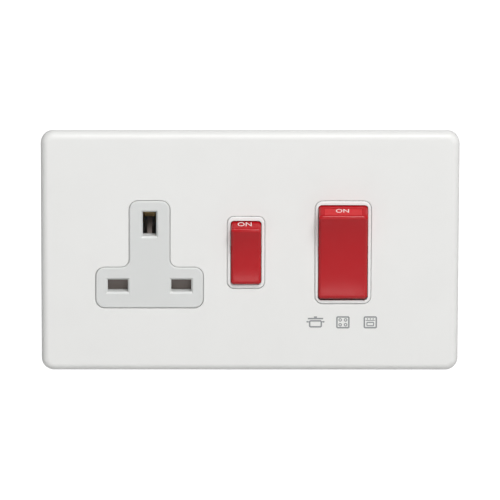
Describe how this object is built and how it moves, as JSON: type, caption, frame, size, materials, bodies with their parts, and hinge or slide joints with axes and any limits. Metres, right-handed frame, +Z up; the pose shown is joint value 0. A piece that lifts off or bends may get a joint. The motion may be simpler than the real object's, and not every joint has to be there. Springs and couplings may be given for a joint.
{
  "type": "cooker control unit",
  "caption": "Double wall plate with a switched three-pin socket and a large red double-pole cooker rocker, with shutter, contacts, terminals and rear base.",
  "frame": {"origin": "midway between the two fixing holes, in the plane of the wall", "axes": "the room is on the -Y side, +X to the right and +Z up as seen from the room"},
  "size_m": [0.146, 0.034, 0.086],
  "materials": {
    "cover_white": "satin, faint orange-peel texture",
    "white_moulding": "satin",
    "ring_white": "semi-gloss",
    "rocker_red": "semi-gloss",
    "carrier_grey": "matt",
    "shutter_grey": "matt",
    "base_white": "matt",
    "plunger_white": "matt",
    "copper_strip": "bare",
    "brass_clip": "bare",
    "steel_zinc": "zinc plated"
  },
  "bodies": {
    "wall_unit": {"support_frame": "carrier_grey", "earth_strap": "brass_clip", "socket_face": "white_moulding", "socket_switch_housing": "ring_white", "cooker_switch_housing": "ring_white", "shutter_spring": "steel_zinc", "line_bus": "copper_strip", "line_link": "copper_strip", "line_contact": "brass_clip", "neutral_contact": "brass_clip", "earth_contact": "brass_clip", "neutral_bus": "copper_strip", "earth_link": "copper_strip", "earth_terminal": "brass_clip", "line_fulcrum": "copper_strip", "line_fixed_contact": "copper_strip", "line_feed_terminal": "brass_clip", "line_load_terminal": "brass_clip", "neutral_fulcrum": "copper_strip", "neutral_fixed_contact": "copper_strip", "neutral_feed_terminal": "brass_clip", "neutral_load_terminal": "brass_clip", "rear_base": "base_white", "clamp_screws": "steel_zinc", "housing_screws": "steel_zinc"},
    "socket_rocker": {"socket_rocker": "rocker_red", "socket_spring": "steel_zinc"},
    "cooker_rocker": {"cooker_rocker": "rocker_red", "line_spring": "steel_zinc", "neutral_spring": "steel_zinc"},
    "shutter": {"shutter": "shutter_grey"},
    "front_plate": {"front_plate": "cover_white"},
    "socket_plunger": {"socket_plunger": "plunger_white"},
    "line_plunger": {"line_plunger": "plunger_white"},
    "neutral_plunger": {"neutral_plunger": "plunger_white"},
    "socket_blade": {"socket_blade": "copper_strip"},
    "line_blade": {"line_blade": "copper_strip"},
    "neutral_blade": {"neutral_blade": "copper_strip"}
  },
  "joints": [
    {"name": "socket_rocker_tip", "type": "hinge", "parent": "wall_unit", "child": "socket_rocker", "pos_m": [-0.0014, -0.0009, 0], "axis": [-1, 0, 0], "range_deg": [0, 15]},
    {"name": "cooker_rocker_tip", "type": "hinge", "parent": "wall_unit", "child": "cooker_rocker", "pos_m": [0.0325, -0.0009, 0], "axis": [-1, 0, 0], "range_deg": [0, 15]},
    {"name": "socket_blade_rock", "type": "hinge", "parent": "wall_unit", "child": "socket_blade", "pos_m": [-0.0014, 0.01105, 0], "axis": [1, 0, 0], "range_deg": [0, 20]},
    {"name": "line_blade_rock", "type": "hinge", "parent": "wall_unit", "child": "line_blade", "pos_m": [0.0273, 0.01265, 0], "axis": [1, 0, 0], "range_deg": [0, 20]},
    {"name": "neutral_blade_rock", "type": "hinge", "parent": "wall_unit", "child": "neutral_blade", "pos_m": [0.0377, 0.01265, 0], "axis": [1, 0, 0], "range_deg": [0, 20]},
    {"name": "socket_plunger_slide", "type": "slide", "parent": "socket_rocker", "child": "socket_plunger", "axis": [0, -0.9914, -0.1305], "range_m": [0, 0.0008], "stiffness_N_per_m": 300, "springref_m": -0.003, "deforming": ["socket_spring"]},
    {"name": "line_plunger_slide", "type": "slide", "parent": "cooker_rocker", "child": "line_plunger", "axis": [0, -0.9914, -0.1305], "range_m": [0, 0.0008], "stiffness_N_per_m": 300, "springref_m": -0.003, "deforming": ["line_spring"]},
    {"name": "neutral_plunger_slide", "type": "slide", "parent": "cooker_rocker", "child": "neutral_plunger", "axis": [0, -0.9914, -0.1305], "range_m": [0, 0.0008], "stiffness_N_per_m": 300, "springref_m": -0.003, "deforming": ["neutral_spring"]},
    {"name": "shutter_slide", "type": "slide", "parent": "wall_unit", "child": "shutter", "axis": [0, 0, -1], "range_m": [0, 0.0049], "stiffness_N_per_m": 150, "springref_m": -0.002, "deforming": ["shutter_spring"]},
    {"name": "front_plate_pull", "type": "slide", "parent": "wall_unit", "child": "front_plate", "axis": [0, -1, 0], "range_m": [0, 0.02]}
  ],
  "couplings": [
    {"joint": "socket_blade_rock", "follows": "socket_rocker_tip", "ratio": 1.3333},
    {"joint": "line_blade_rock", "follows": "cooker_rocker_tip", "ratio": 1.3333},
    {"joint": "neutral_blade_rock", "follows": "cooker_rocker_tip", "ratio": 1.3333}
  ]
}
